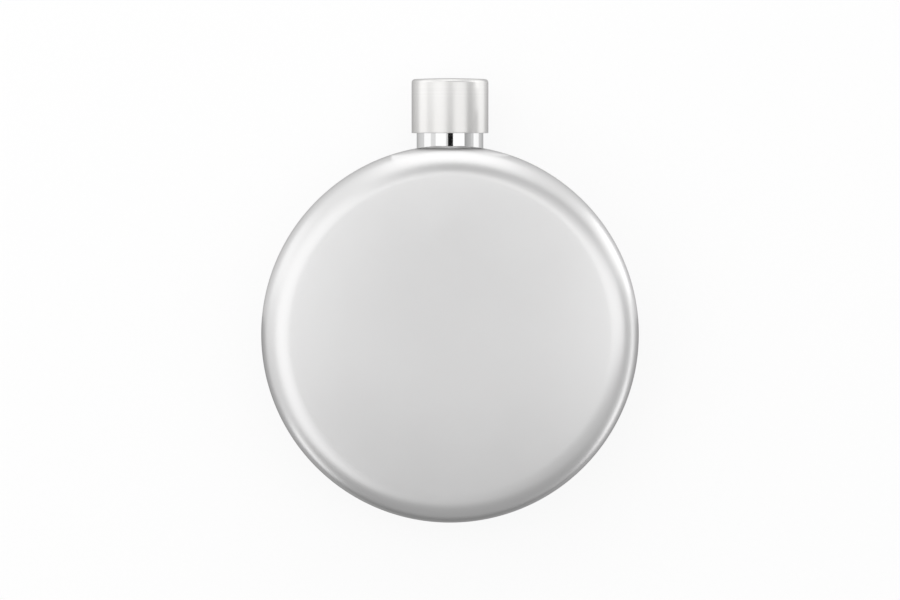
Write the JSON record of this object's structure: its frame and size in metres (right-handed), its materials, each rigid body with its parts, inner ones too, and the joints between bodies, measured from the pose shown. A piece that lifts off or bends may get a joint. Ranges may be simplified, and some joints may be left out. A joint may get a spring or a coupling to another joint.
{
  "type": "canteen",
  "caption": "Round flat metal canteen with a drawn two-shell body, a short threaded neck and a gasketed screw cap that unscrews and lifts off.",
  "frame": {"origin": "centre of the flat rear face, on which the canteen lies", "axes": "+Z out of the front face, +Y out of the mouth along the axis of the neck and cap, +X to the right of the front face"},
  "size_m": [0.2164, 0.2548, 0.062],
  "materials": {
    "blasted_titanium": "satin",
    "turned_titanium": "satin",
    "polished_titanium": "polished",
    "weld_titanium": "satin",
    "silicone": "matte"
  },
  "bodies": {
    "canteen": {"rear_shell": "blasted_titanium", "front_shell": "blasted_titanium", "girth_weld": "weld_titanium", "neck_tube": "polished_titanium", "neck_weld": "weld_titanium"},
    "seal": {"cap_gasket": "silicone"},
    "cap": {"cap_shell": "turned_titanium", "cap_insert": "turned_titanium"}
  },
  "joints": [
    {"name": "cap_lift", "type": "slide", "parent": "canteen", "child": "seal", "axis": [0, 1, 0], "range_m": [0, 0.0341]},
    {"name": "cap_turn", "type": "hinge", "parent": "seal", "child": "cap", "pos_m": [0, 0.13, 0.031], "axis": [0, 1, 0], "range_deg": [0, 3060]}
  ],
  "couplings": [
    {"joint": "cap_lift", "follows": "cap_turn", "m_per_rad": 0.00063662}
  ]
}
